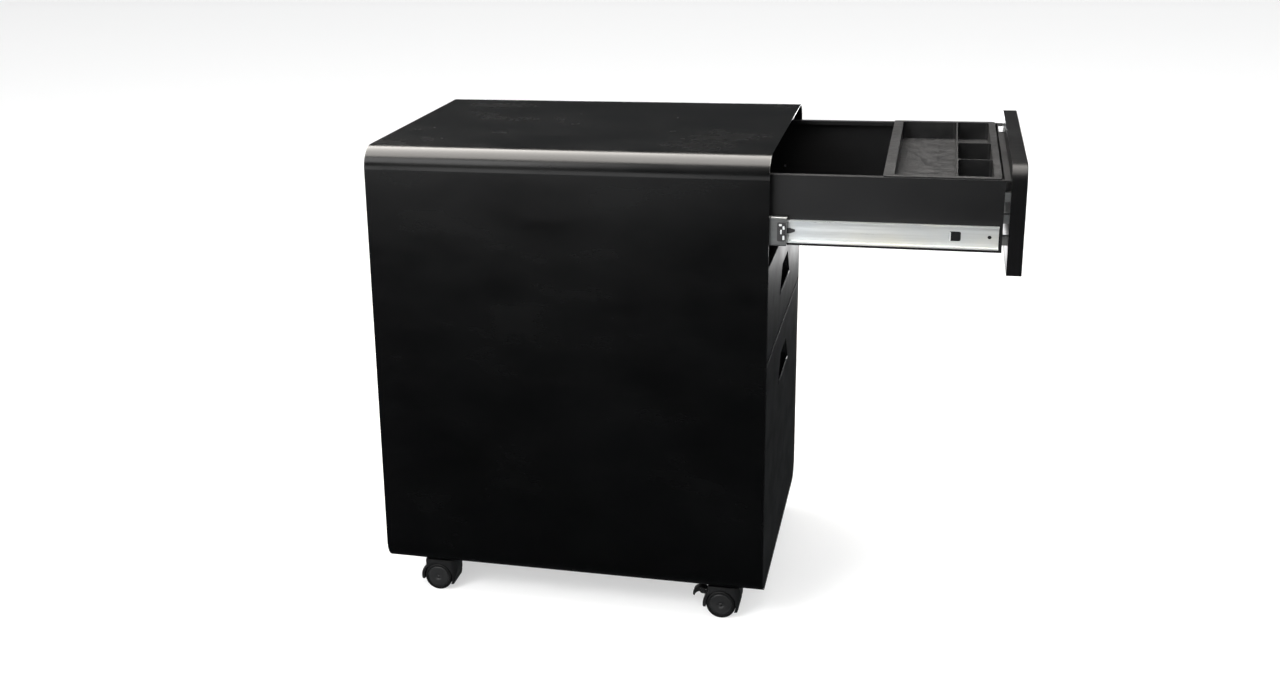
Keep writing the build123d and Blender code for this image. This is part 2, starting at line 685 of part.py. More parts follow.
def hood_plan():
    """The outline of a hood in x and y about its stem, rounded at the nose."""
    front = -HOOD_NOSE - HOOD_NOSE_BULGE
    back = TRAIL + WHEEL_D / 2 + HOOD_WHEEL_GAP + HOOD_SHELL
    sketch = Rectangle(2 * wheel_outer, back - front)
    sketch = fillet(sketch.vertices().group_by(Axis.Y)[0], HOOD_NOSE_R)
    return Pos(0, (front + back) / 2) * sketch


def pedal_pivot():
    y, z = PEDAL_PIVOT
    return TRAIL + y, wheel_z + z


def caster_hood(braked):
    """A hood about its own stem axis: the wheels trail towards +Y."""
    hood = Pos(0, TRAIL, 0) * along_x(hood_profile(), -wheel_outer, wheel_outer)
    hood &= extrude(hood_plan(), hood_top)
    for side in (-1, 1):
        outside = side * (wheel_outer + PAST)
        hood -= rod_x(WHEEL_D / 2 + HOOD_WHEEL_GAP, side * HOOD_WEB / 2, outside, TRAIL, wheel_z)
    if braked:
        pivot = pedal_pivot()
        low = pivot[1] - PEDAL_HUB_R - EAR_MARGIN
        for side in (-1, 1):
            near = side * (PEDAL_WIDTH / 2 + EAR_GAP)
            far = near + side * EAR_THICKNESS
            ear = rod_x(PEDAL_HUB_R + EAR_MARGIN, near, far, *pivot)
            ear += block(near, far, pivot[0] - EAR_ROOT, pivot[0], low, pivot[1] + EAR_MARGIN)
            hood += ear
            hood -= rod_x(PEDAL_PIN_D / 2 + RUN_CLEARANCE, near - side, far + side, *pivot)
        swing = PEDAL_WIDTH / 2 + EAR_GAP
        hood -= rod_x(PEDAL_HUB_R + PEDAL_SWING_GAP, -swing, swing, *pivot)
    hood -= rod_z(STEM_PIN_D / 2 + RUN_CLEARANCE, hood_top - STEM_PIN_DEPTH - PAST, hood_top + PAST, 0, 0)
    return hood - rod_x(AXLE_D / 2 + RUN_CLEARANCE, -HOOD_WEB, HOOD_WEB, TRAIL, wheel_z)


def brake_pedal():
    """A hooked pedal on two trunnions behind the hood."""
    pivot = pedal_pivot()
    half = PEDAL_WIDTH / 2
    pedal = rod_x(PEDAL_HUB_R, -half, half, *pivot)
    reach = half + EAR_GAP + EAR_THICKNESS
    pedal += rod_x(PEDAL_PIN_D / 2, -reach, reach, *pivot)
    top = ThreePointArc((0, PEDAL_HUB_R), PEDAL_CLAW_MIDDLE, PEDAL_TIP)
    under = ThreePointArc(PEDAL_TIP_CUT, PEDAL_CLAW_HOLLOW, (0, -PEDAL_HUB_R))
    ends = Line(PEDAL_TIP, PEDAL_TIP_CUT) + Line((0, -PEDAL_HUB_R), (0, PEDAL_HUB_R))
    return pedal + along_x(Pos(*pivot) * make_face(top + under + ends), -half, half)


def caster_wheel():
    """The right-hand wheel of a pair: a shallow dished face outside and a hollow inside."""
    wheel = rod_x(WHEEL_D / 2, wheel_inner, wheel_outer, TRAIL, wheel_z)
    wheel = fillet(wheel.edges().filter_by(GeomType.CIRCLE), WHEEL_TREAD_R)
    wheel -= rod_x(WHEEL_D / 2 - WHEEL_RIM, wheel_outer - WHEEL_RECESS, wheel_outer + PAST, TRAIL, wheel_z)
    ring = rod_x(WHEEL_D / 2 - WHEEL_RIM, wheel_inner - PAST, wheel_inner + WHEEL_HOLLOW, TRAIL, wheel_z)
    wheel -= ring - rod_x(WHEEL_HUB_R, wheel_inner - 2 * PAST, wheel_outer, TRAIL, wheel_z)
    return wheel - rod_x(AXLE_D / 2, wheel_inner - PAST, wheel_outer - AXLE_END_COVER, TRAIL, wheel_z)


def caster_axle():
    reach = wheel_outer - AXLE_END_COVER
    return rod_x(AXLE_D / 2, -reach, reach, TRAIL, wheel_z)


# ---------------------------------------------------------------- the model

file_slide_z = file_front_z - file_slide_drop
slide_levels = (top_front_z - SLIDE_DROP, middle_front_z - SLIDE_DROP, file_slide_z)
lock_point = (front_half - LOCK_INSET, top_front_z - LOCK_DROP)

save("casing_wrap", casing_wrap())
save("back_panel", back_panel())
save("caster_channels", caster_channel(front_stem_y), caster_channel(rear_stem_y))
strips = [upright(y) for y in upright_ys]
save("slide_uprights", *strips, *[mirrored(strip) for strip in strips])
casing_screws = [screw for level in slide_levels for screw in outer_screws(level)]
save("slide_screws", *casing_screws, *[mirrored(screw) for screw in casing_screws])
save("lock_catch", lock_catch(lock_point))
save("caster_stems", *[caster_stem(x, y) for x, y in stem_points])
save("caster_nuts", *[caster_nut(x, y) for x, y in stem_points])

save_slide("top", slide_levels[0], TOP_STAGE_OPEN)
save_slide("middle", slide_levels[1])
save_slide("file", slide_levels[2])

save_drawer("top", top_front_z, TOP_FRONT_HEIGHT, BOX_HEIGHT, SLIDE_DROP,
            round_top=True, lock_at=lock_point, move=TOP_DRAWER_OPEN)
save_drawer("middle", middle_front_z, MIDDLE_FRONT_HEIGHT, BOX_HEIGHT, SLIDE_DROP)
save_drawer("file", file_front_z, file_front_height, file_box_height, file_slide_drop, round_bottom=True)
save("pencil_tray", Pos(0, -TOP_DRAWER_OPEN, 0) * pencil_tray())
save("file_rails", *file_rails(file_front_z - BOX_DROP))
for label, piece in zip(("lock_housing", "lock_plug", "lock_cam"), lock_parts(lock_point)):
    save(label, Pos(0, -TOP_DRAWER_OPEN, 0) * piece)

for place, (x, y) in zip(("front_left", "front_right", "rear_left", "rear_right"), stem_points):
    at = Pos(x, y, 0)
    wheel = caster_wheel()
    save(f"hood_{place}", at * caster_hood(place.startswith("front")))
    save(f"wheels_{place}", at * wheel, at * mirrored(wheel))
    save(f"axle_{place}", at * caster_axle())
    if place.startswith("front"):
        save(f"brake_{place}", at * brake_pedal())
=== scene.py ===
"""Looks for a rolling pedestal cabinet.

Paint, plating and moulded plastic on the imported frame, with finer trim.
"""
import json
from math import cos, pi, radians, sin

import bmesh
import bpy
from mathutils import Matrix, Vector


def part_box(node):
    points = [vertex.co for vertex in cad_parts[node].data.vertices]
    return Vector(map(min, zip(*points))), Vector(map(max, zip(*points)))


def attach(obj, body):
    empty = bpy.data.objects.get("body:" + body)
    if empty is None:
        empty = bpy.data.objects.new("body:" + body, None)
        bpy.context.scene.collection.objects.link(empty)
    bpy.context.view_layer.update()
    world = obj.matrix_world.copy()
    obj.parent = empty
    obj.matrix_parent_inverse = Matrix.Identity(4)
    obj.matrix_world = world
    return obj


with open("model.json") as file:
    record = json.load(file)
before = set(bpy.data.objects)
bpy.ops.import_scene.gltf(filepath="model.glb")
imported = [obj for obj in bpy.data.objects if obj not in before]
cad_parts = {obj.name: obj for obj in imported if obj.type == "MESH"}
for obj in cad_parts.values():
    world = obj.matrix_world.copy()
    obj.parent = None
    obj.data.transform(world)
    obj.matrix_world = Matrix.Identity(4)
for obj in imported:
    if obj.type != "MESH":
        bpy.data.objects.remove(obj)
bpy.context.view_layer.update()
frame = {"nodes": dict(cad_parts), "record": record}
nodes = frame["nodes"]
MM = 0.001
DRAWERS = ("top", "middle", "file")
CASTERS = ("front_left", "front_right", "rear_left", "rear_right")
SIDES = (("left", -1), ("right", 1))


# ---------------------------------------------------------------- camera, lights and floor

CAMERA_PLACE = (-1.9102, -0.4389, 0.9568)
CAMERA_ANGLES = (-74.54, 17.04, -1.68)
CAMERA_LENS = 42.09
CAMERA_SHIFT = (0.0811, -0.0280)
WORLD_TINT = (0.93, 0.97, 1.0, 1)
WORLD_STRENGTH = 0.07
FLOOR_HALF = 30.0
FLOOR_GREY = 0.50
FLOOR_EMISSION = 0.52
FLOOR_ROUGHNESS = 0.8
BACKDROP_HALF = 29.0
BACKDROP_HEIGHT = 30.0
WARM = (1.0, 0.96, 0.91)
CARD_HEIGHT = 0.03
CARD_SIZE = (2.2, 2.2)

def look_matrix(azimuth, elevation, roll):
    """Camera axes for a view along the azimuth, from above by the elevation, rolled about the view."""
    a, e, r = radians(azimuth), radians(elevation), radians(roll)
    back = Vector((sin(a) * cos(e), -cos(a) * cos(e), sin(e)))
    right = (-back).cross(Vector((0, 0, 1))).normalized()
    up = right.cross(-back)
    side = cos(r) * right + sin(r) * up
    top = -sin(r) * right + cos(r) * up
    return Matrix((side, top, back)).transposed().to_4x4()


def add_camera():
    data = bpy.data.cameras.new("camera")
    data.sensor_width = 36.0
    data.lens = CAMERA_LENS
    data.shift_x, data.shift_y = CAMERA_SHIFT
    data.clip_end = 100.0
    camera = bpy.data.objects.new("camera", data)
    camera.matrix_world = Matrix.Translation(CAMERA_PLACE) @ look_matrix(*CAMERA_ANGLES)
    bpy.context.scene.collection.objects.link(camera)
    bpy.context.scene.camera = camera


def add_softbox(name, place, target, size, watts, tint=(1, 1, 1), glossy=True, diffuse=True):
    """A rectangular light aimed at a point; it may be left out of reflections, or give only them."""
    data = bpy.data.lights.new(name, "AREA")
    data.shape = "RECTANGLE"
    data.size, data.size_y = size
    data.energy = watts
    data.color = tint
    light = bpy.data.objects.new(name, data)
    aim = Vector(target) - Vector(place)
    light.matrix_world = Matrix.Translation(place) @ aim.to_track_quat("-Z", "Y").to_matrix().to_4x4()
    light.visible_glossy = glossy
    light.visible_diffuse = diffuse
    light.visible_camera = False
    bpy.context.scene.collection.objects.link(light)


def add_world():
    world = bpy.data.worlds.new("studio")
    world.use_nodes = True
    backdrop = world.node_tree.nodes["Background"]
    backdrop.inputs["Color"].default_value = WORLD_TINT
    backdrop.inputs["Strength"].default_value = WORLD_STRENGTH
    bpy.context.scene.world = world


def square(half):
    """The corners of a square round the origin, in order."""
    return [(-half, -half), (half, -half), (half, half), (-half, half)]


def glowing_paint(name, grey, emission):
    paint = bpy.data.materials.new(name)
    paint.use_nodes = True
    shader = paint.node_tree.nodes["Principled BSDF"]
    shader.inputs["Base Color"].default_value = (grey, grey, grey, 1)
    shader.inputs["Emission Color"].default_value = (1, 1, 1, 1)
    shader.inputs["Emission Strength"].default_value = emission
    return paint


def add_floor():
    """A pale floor that the black paint doesn't mirror."""
    mesh = bpy.data.meshes.new("floor")
    mesh.from_pydata([(x, y, 0) for x, y in square(FLOOR_HALF)], [], [(0, 1, 2, 3)])
    floor = bpy.data.objects.new("floor", mesh)
    bpy.context.scene.collection.objects.link(floor)
    paint = glowing_paint("floor", FLOOR_GREY, FLOOR_EMISSION)
    paint.node_tree.nodes["Principled BSDF"].inputs["Roughness"].default_value = FLOOR_ROUGHNESS
    mesh.materials.append(paint)
    floor.visible_glossy = False


def add_backdrop():
    """White walls and a lid round the floor, which only the camera sees."""
    walls = [(k, (k + 1) % 4, (k + 1) % 4 + 4, k + 4) for k in range(4)]
    mesh = bpy.data.meshes.new("backdrop")
    corners = [(x, y, z) for z in (0.0, BACKDROP_HEIGHT) for x, y in square(BACKDROP_HALF)]
    mesh.from_pydata(corners, [], walls + [(4, 5, 6, 7)])
    backdrop = bpy.data.objects.new("backdrop", mesh)
    bpy.context.scene.collection.objects.link(backdrop)
    mesh.materials.append(glowing_paint("backdrop", 0, 1.0))
    backdrop.visible_glossy = False
    backdrop.visible_diffuse = False
    backdrop.visible_shadow = False


# ---------------------------------------------------------------- materials

class Nodes:
    """A material's node tree, with short ways to add and join nodes."""

    def __init__(self, name):
        self.material = bpy.data.materials.new(name)
        self.material.use_nodes = True
        self.tree = self.material.node_tree
        self.shader = self.tree.nodes["Principled BSDF"]
        self.coords = self.tree.nodes.new("ShaderNodeTexCoord").outputs["Object"]

    def join(self, out, into):
        self.tree.links.new(out, into)

    def stretched(self, scale):
        node = self.tree.nodes.new("ShaderNodeMapping")
        node.inputs["Scale"].default_value = scale
        self.join(self.coords, node.inputs["Vector"])
        return node.outputs["Vector"]

    def noise(self, scale, detail=3.0, roughness=0.5, stretch=None, distortion=0.0):
        node = self.tree.nodes.new("ShaderNodeTexNoise")
        node.inputs["Scale"].default_value = scale
        node.inputs["Detail"].default_value = detail
        node.inputs["Roughness"].default_value = roughness
        node.inputs["Distortion"].default_value = distortion
        self.join(self.stretched(stretch) if stretch else self.coords, node.inputs["Vector"])
        return node.outputs["Fac"]

    def ramp(self, source, *stops):
        """A colour ramp through (position, colour) stops; a number stands for a grey."""
        node = self.tree.nodes.new("ShaderNodeValToRGB")
        elements = node.color_ramp.elements
        while len(elements) < len(stops):
            elements.new(0.5)
        for element, (position, value) in zip(elements, stops):
            element.position = position
            element.color = (*value, 1) if isinstance(value, tuple) else (value, value, value, 1)
        self.join(source, node.inputs["Fac"])
        return node.outputs["Color"]

    def mix(self, factor, low, high, blend="MIX"):
        node = self.tree.nodes.new("ShaderNodeMix")
        node.data_type = "RGBA"
        node.blend_type = blend
        for value, socket in ((factor, node.inputs[0]), (low, node.inputs[6]), (high, node.inputs[7])):
            if hasattr(value, "is_linked") or hasattr(value, "links"):
                self.join(value, socket)
            elif isinstance(value, tuple):
                socket.default_value = (*value, 1)
            else:
                socket.default_value = value
        return node.outputs[2]

    def bump(self, *layers):
        """Bump from (height, distance in metres, strength) layers, one on the next."""
        normal = None
        for height, distance, strength in layers:
            node = self.tree.nodes.new("ShaderNodeBump")
            node.inputs["Distance"].default_value = distance
            node.inputs["Strength"].default_value = strength
            self.join(height, node.inputs["Height"])
            if normal:
                self.join(normal, node.inputs["Normal"])
            normal = node.outputs["Normal"]
        self.join(normal, self.shader.inputs["Normal"])

    def set(self, **values):
        for label, value in values.items():
            self.shader.inputs[label.replace("_", " ")].default_value = value

    def edge_wear_and_highlight(self):
        """White where the surface turns sharply within a fraction of a millimetre: the mask for edges
        lightened as wear and as a painted highlight.
        """
        rounded = self.tree.nodes.new("ShaderNodeBevel")
        rounded.samples = 4
        rounded.inputs["Radius"].default_value = 0.0006
        turn = self.tree.nodes.new("ShaderNodeVectorMath")
        turn.operation = "DOT_PRODUCT"
        self.join(rounded.outputs["Normal"], turn.inputs[0])
        self.join(self.tree.nodes.new("ShaderNodeNewGeometry").outputs["Normal"], turn.inputs[1])
        return self.ramp(turn.outputs["Value"], (0.80, 1.0), (0.97, 0.0))


def powder_coat(name, colour, roughness, specular):
    """Satin powder coat: fine orange peel, faint clouding, and a thin lighter colour on sharp edges, partly
    wear and partly a painted highlight.
    """
    n = Nodes(name)
    light = tuple(c * 1.35 + 0.0002 for c in colour)
    dark = tuple(c * 0.8 for c in colour)
    cloud = n.noise(5.0, detail=4.0, roughness=0.6)
    base = n.ramp(cloud, (0.35, dark), (0.70, light))
    speck = n.ramp(n.noise(1400.0, detail=1.0), (0.62, 0.0), (0.80, 1.0))
    flecked = n.mix(speck, base, tuple(c * 1.6 + 0.0012 for c in colour))
    # Lighter colour on sharp edges: edge wear, and a painted highlight.
    edge = tuple(c * 1.8 + 0.006 for c in colour)
    n.join(n.mix(n.edge_wear_and_highlight(), flecked, edge), n.shader.inputs["Base Color"])
    smear = n.noise(14.0, detail=5.0, roughness=0.62, stretch=(1.0, 0.6, 1.6))
    n.join(n.ramp(smear, (0.30, roughness - 0.05), (0.75, roughness + 0.07)), n.shader.inputs["Roughness"])
    n.set(Specular_IOR_Level=specular)
    peel = n.noise(420.0, detail=2.0, roughness=0.55)
    grit = n.noise(2600.0, detail=1.0)
    n.bump((peel, 0.00004, 0.35), (grit, 0.00001, 0.25))
    return n.material


def zinc_plate(name, streak_axis, tone):
    """Zinc-plated strip steel: long rolling streaks, with bluish and yellowish passivation."""
    n = Nodes(name)
    stretch = [260.0, 260.0, 260.0]
    stretch["xyz".index(streak_axis)] = 5.0
    streaks = n.noise(1.0, detail=6.0, roughness=0.7, stretch=tuple(stretch))
    bluish = (0.60 * tone, 0.66 * tone, 0.70 * tone)
    neutral = (0.72 * tone, 0.74 * tone, 0.72 * tone)
    yellowish = (0.80 * tone, 0.77 * tone, 0.63 * tone)
    patches = n.noise(9.0, detail=3.0, distortion=0.6)
    passivated = n.ramp(patches, (0.30, bluish), (0.55, neutral), (0.75, yellowish))
    rolled = n.ramp(streaks, (0.3, 0.35 * tone), (0.7, 0.95 * tone))
    n.join(n.mix(0.25, passivated, rolled), n.shader.inputs["Base Color"])
    n.join(n.ramp(streaks, (0.25, 0.24), (0.75, 0.42)), n.shader.inputs["Roughness"])
    n.set(Metallic=0.6)
    n.bump((streaks, 0.00001, 0.3))
    return n.material


def moulded(name, colour, roughness, grain, depth, specular=0.5):
    """Moulded plastic with a spark-eroded grain, and lighter edges, partly rubbed and partly a painted
    highlight.
    """
    n = Nodes(name)
    cloud = n.noise(30.0, detail=3.0)
    base = n.ramp(cloud, (0.3, tuple(c * 0.85 for c in colour)), (0.7, tuple(c * 1.2 for c in colour)))
    # Lighter colour on sharp edges: rubbing, and a painted highlight.
    n.join(n.mix(n.edge_wear_and_highlight(), base, tuple(c * 1.7 + 0.01 for c in colour)), n.shader.inputs["Base Color"])
    scuff = n.noise(60.0, detail=5.0, roughness=0.65)
    n.join(n.ramp(scuff, (0.3, roughness - 0.07), (0.7, roughness + 0.09)), n.shader.inputs["Roughness"])
    n.set(Specular_IOR_Level=specular)
    n.bump((n.noise(grain, detail=2.0, roughness=0.6), depth, 0.5))
    return n.material


def bright_metal(name, colour, roughness, grain):
    """Turned or polished metal with fine hairlines."""
    n = Nodes(name)
    fine = n.noise(grain, detail=4.0, roughness=0.7)
    n.join(n.ramp(fine, (0.3, tuple(c * 0.85 for c in colour)), (0.7, colour)), n.shader.inputs["Base Color"])
    n.join(n.ramp(fine, (0.3, roughness * 0.7), (0.7, roughness * 1.4)), n.shader.inputs["Roughness"])
    n.set(Metallic=1.0)
    n.bump((fine, 0.00001, 0.15))
    return n.material


def make_materials():
    return {
        "casing_paint": powder_coat("casing_paint", (0.0009, 0.0010, 0.0011), 0.24, 0.09),
        "front_paint": powder_coat("front_paint", (0.0026, 0.0027, 0.0029), 0.36, 0.06),
        "drawer_paint": powder_coat("drawer_paint", (0.0050, 0.0051, 0.0055), 0.40, 0.16),
        "zinc": zinc_plate("zinc", "y", 0.70),
        "hub_plastic": moulded("hub_plastic", (0.0085, 0.0088, 0.0093), 0.40, 1500.0,
                               0.00002, specular=0.35),
        "shaded_zinc": zinc_plate("shaded_zinc", "y", 0.13),
        # A lighter, glossier copy of the front paint for the pull scoops: the lighter colour is a painted
        # highlight.
        "scoop_highlight_paint": powder_coat("scoop_highlight_paint", (0.010, 0.0104, 0.011), 0.22, 0.5),
        # A brighter copy of the zinc for the hook tabs and stage stops: a painted highlight.
        "highlight_zinc": zinc_plate("highlight_zinc", "z", 0.95),
        "bumper_plastic": moulded("bumper_plastic", (0.010, 0.010, 0.011), 0.3, 1500.0, 0.00002),
        # A much lighter copy of the black paint for the edge beads and pull lips: a painted highlight.
        "edge_highlight_paint": powder_coat("edge_highlight_paint", (0.012, 0.0125, 0.013), 0.30, 0.5),
        "ball_steel": bright_metal("ball_steel", (0.70, 0.71, 0.73), 0.12, 900.0),
        "screw_steel": bright_metal("screw_steel", (0.62, 0.63, 0.66), 0.3, 1200.0),
        "tray_plastic": moulded("tray_plastic", (0.0036, 0.0038, 0.0042), 0.40, 1500.0,
                                0.00003, specular=0.25),
        "lock_chrome": bright_metal("lock_chrome", (0.75, 0.76, 0.78), 0.12, 1500.0),
        "caster_plastic": moulded("caster_plastic", (0.0060, 0.0062, 0.0066), 0.34, 1800.0,
                                  0.00002, specular=0.35),
        "wheel_plastic": moulded("wheel_plastic", (0.0016, 0.0016, 0.0018), 0.55, 1800.0,
                                 0.00002, specular=0.2),
        "axle_steel": bright_metal("axle_steel", (0.6, 0.61, 0.64), 0.25, 1200.0),
    }


def paint_frame(materials):
    """Give every CAD node the procedural material of its slot."""
    slot_of = {part["node"]: part["material_slot"] for part in frame["record"]["subparts"]}
    finer = {}
    for drawer in DRAWERS:
        finer[f"{drawer}_slide_stage"] = "shaded_zinc"
        finer[f"{drawer}_front_spacers"] = "shaded_zinc"
        # The pull scoops take a lighter copy of the front paint: a painted highlight.
        finer[f"{drawer}_pull_scoop"] = "scoop_highlight_paint"
    for name, node in nodes.items():
        material = materials[finer.get(name, slot_of[name])]
        node.data.materials.clear()
        node.data.materials.append(material)


def soften(node, width, segments=2, angle=40):
    """Round a node's sharp edges with a modifier; its own mesh stays as it is."""
    modifier = node.modifiers.new("soft_edges", "BEVEL")
    modifier.width = width
    modifier.segments = segments
    modifier.limit_method = "ANGLE"
    modifier.angle_limit = radians(angle)
    modifier.harden_normals = True


# ---------------------------------------------------------------- mesh helpers

def finish_piece(mesh_data, name, material, body):
    """Turn a bmesh into a piece with its material, body and slot."""
    bmesh.ops.recalc_face_normals(mesh_data, faces=mesh_data.faces)
    mesh = bpy.data.meshes.new(name)
    mesh_data.to_mesh(mesh)
    mesh_data.free()
    for face in mesh.polygons:
        face.use_smooth = True
    mesh.materials.append(material)
    piece = bpy.data.objects.new(name, mesh)
    bpy.context.scene.collection.objects.link(piece)
    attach(piece, body)
    return piece


def bridge_rings(mesh_data, rings, closed):
    """Join rings of vertices, each to the next, and cap the two ends of an open run."""
    made = [[mesh_data.verts.new(point) for point in ring] for ring in rings]
    pairs = list(zip(made, made[1:])) + ([(made[-1], made[0])] if closed else [])
    count = len(made[0])
    for low, high in pairs:
        for k in range(count):
            mesh_data.faces.new((low[k], low[(k + 1) % count], high[(k + 1) % count], high[k]))
    if not closed:
        mesh_data.faces.new(made[0][::-1])
        mesh_data.faces.new(made[-1])


def bead(name, path, radius, material, body, closed=False, sides=10):
    """A round bead along a path that lies in one plane of constant y."""
    rings = []
    count = len(path)
    for k, point in enumerate(path):
        ahead = path[(k + 1) % count] if closed or k < count - 1 else point
        behind = path[k - 1] if closed or k else point
        along = (ahead - behind).normalized()
        across = along.cross(Vector((0, 1, 0))).normalized()
        turns = [2 * pi * t / sides for t in range(sides)]
        rings.append([point + radius * (cos(t) * across + sin(t) * Vector((0, 1, 0))) for t in turns])
    mesh_data = bmesh.new()
    bridge_rings(mesh_data, rings, closed)
    return finish_piece(mesh_data, name, material, body)


def turned(name, centre, profile, material, body, sides=64):
    """A solid turned about a line along x through centre, from (x, radius) pairs, closed at both ends."""
    rings = []
    for x, radius in profile:
        turns = [2 * pi * t / sides for t in range(sides)]
        rings.append([centre + Vector((x, radius * cos(t), radius * sin(t))) for t in turns])
    mesh_data = bmesh.new()
    bridge_rings(mesh_data, rings, False)
    return finish_piece(mesh_data, name, material, body)


def plate(name, outline, x0, x1, material, body, ease=0.0003):
    """A flat part cut from sheet: an outline of (y, z) points between two x planes, with eased edges."""
    mesh_data = bmesh.new()
    low = [mesh_data.verts.new((x0, y, z)) for y, z in outline]
    high = [mesh_data.verts.new((x1, y, z)) for y, z in outline]
    count = len(outline)
    mesh_data.faces.new(low)
    mesh_data.faces.new(high[::-1])
    for k in range(count):
        mesh_data.faces.new((low[k], high[k], high[(k + 1) % count], low[(k + 1) % count]))
    bmesh.ops.bevel(mesh_data, geom=mesh_data.edges[:], offset=ease, segments=2, profile=0.5, affect="EDGES")
    piece = finish_piece(mesh_data, name, material, body)
    for face in piece.data.polygons:
        face.use_smooth = False
    return piece


def arc(centre, radius, first, last, steps):
    """Points (u, v) on an arc, with angles in degrees."""
    u, v = centre
    angles = [radians(first + (last - first) * k / steps) for k in range(steps + 1)]
    return [(u + radius * cos(a), v + radius * sin(a)) for a in angles]


def rounded_rectangle(u0, u1, v0, v1, radius, steps=5):
    """Points (u, v) round a rectangle with rounded corners."""
    corners = ((u1 - radius, v1 - radius, 0), (u0 + radius, v1 - radius, 90),
               (u0 + radius, v0 + radius, 180), (u1 - radius, v0 + radius, 270))
    return [point for u, v, start in corners for point in arc((u, v), radius, start, start + 90, steps)]


# ---------------------------------------------------------------- finer trim

EDGE_BEAD = 0.7 * MM
CASING_CORNER = 27.0 * MM
SLIDE_SHEET = 1.2 * MM
INNER_DEPTH = 6.1 * MM
HOOK_TAB_START = 52.6 * MM
HOOK_TAB_END = 54.3 * MM
LEVER_AT = 229.0 * MM
WHEEL_RIM = 4.4 * MM
AXIS_RADIUS = 0.0001
LIP_STATIONS = (-59.5, -40, -20, 0, 20, 40, 59.5)
LIP_RADIUS = 0.9 * MM
LIP_PROUD = 0.6 * MM
LIP_BELOW_TOP = 72.0 * MM
# start along y and z, then length and height, of the stops on a stage's end, in mm; their lighter zinc is a
# painted highlight
STAGE_STOPS = ((2.2, -9.5, 2.4, 5.0), (2.2, 3.0, 2.4, 4.0), (5.6, -2.6, 1.6, 5.2), (5.6, 7.0, 3.2, 2.4))


def add_casing_edges(materials):
    """The folded-over front and rear edges of the casing's sheet, as fine round beads in a lighter paint that
    is a painted highlight.
    """
    low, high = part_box("casing_wrap")
    for label, y in (("front", low[1] + EDGE_BEAD), ("rear", high[1] - EDGE_BEAD)):
        loop = rounded_rectangle(low[0] + EDGE_BEAD, high[0] - EDGE_BEAD, low[2] + EDGE_BEAD,
                                 high[2] - EDGE_BEAD, CASING_CORNER - EDGE_BEAD, steps=12)
        path = [Vector((x, y, z)) for x, z in loop]
        bead(f"casing_{label}_edge", path, EDGE_BEAD, materials["edge_highlight_paint"],
             "casing", closed=True)


def add_wheel_caps(materials):
    """A crowned disc in the dished face of each wheel, and a small centre boss."""
    for place in CASTERS:
        low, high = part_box(f"wheels_{place}")
        centre = Vector(((low[0] + high[0]) / 2, (low[1] + high[1]) / 2, (low[2] + high[2]) / 2))
        reach = (high[0] - low[0]) / 2
        disc = (high[2] - low[2]) / 2 - WHEEL_RIM
        for label, side in SIDES:
            rim = ((-1.3, AXIS_RADIUS), (-1.3, disc), (-0.5, disc), (-0.2, disc - 0.3 * MM),
                   (-0.05, disc - 0.8 * MM))
            crown = ((-0.02, disc * 0.8), (-0.12, disc * 0.45))
            boss = ((-0.12, 3.2 * MM), (-0.35, 2.9 * MM), (-0.35, 2.0 * MM), (-0.15, 1.7 * MM),
                    (-0.1, AXIS_RADIUS))
            profile = [(side * (reach + offset * MM), radius) for offset, radius in rim + crown + boss]
            turned(f"wheel_cap_{place}_{label}", centre, profile, materials["hub_plastic"],
                   f"wheel_pair_{place}")


def add_slide_details(materials):
    """What closes the slides' front ends: bumpers, stage end caps, release levers and hook tabs."""
    for drawer in DRAWERS:
        outer_low, outer_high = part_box(f"{drawer}_slide_outer")
        stage_low, stage_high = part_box(f"{drawer}_slide_stage")
        inner_low, inner_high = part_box(f"{drawer}_slide_inner")
        level = (outer_low[2] + outer_high[2]) / 2
        for label, side in SIDES:
            web = side * (outer_high[0] - SLIDE_SHEET)
            y = outer_low[1]
            bumper = [(y + 2 * MM, level - 9 * MM), (y + 9 * MM, level - 9 * MM),
                      (y + 12 * MM, level - 5 * MM), (y + 12 * MM, level + 5 * MM),
                      (y + 9 * MM, level + 9 * MM), (y + 2 * MM, level + 9 * MM)]
            plate(f"{drawer}_slide_bumper_{label}", bumper, web, web - side * 0.8 * MM,
                  materials["bumper_plastic"], "casing", ease=0.25 * MM)
            add_stage_end(drawer, label, side, stage_low[1], side * stage_high[0], level, materials)
            y = inner_low[1]
            near = side * (inner_high[0] - INNER_DEPTH)
            tab = rounded_rectangle(y + HOOK_TAB_START, y + HOOK_TAB_END, level - 5.0 * MM,
                                    level + 5.0 * MM, 0.5 * MM)
            # The hook tabs take a brighter copy of the zinc: a painted highlight.
            plate(f"{drawer}_hook_tab_{label}", tab, near, near + side * 1.4 * MM,
                  materials["highlight_zinc"], f"{drawer}_drawer", ease=0.2 * MM)
            lever_y = y + LEVER_AT
            lever = [(lever_y, level - 1.0 * MM), (lever_y + 6 * MM, level - 3.4 * MM),
                     (lever_y + 22 * MM, level - 3.4 * MM), (lever_y + 22 * MM, level + 3.0 * MM),
                     (lever_y + 6 * MM, level + 3.0 * MM), (lever_y, level + 1.4 * MM)]
            plate(f"{drawer}_release_lever_{label}", lever, near, near + side * 1.6 * MM,
                  materials["bumper_plastic"], f"{drawer}_drawer", ease=0.4 * MM)


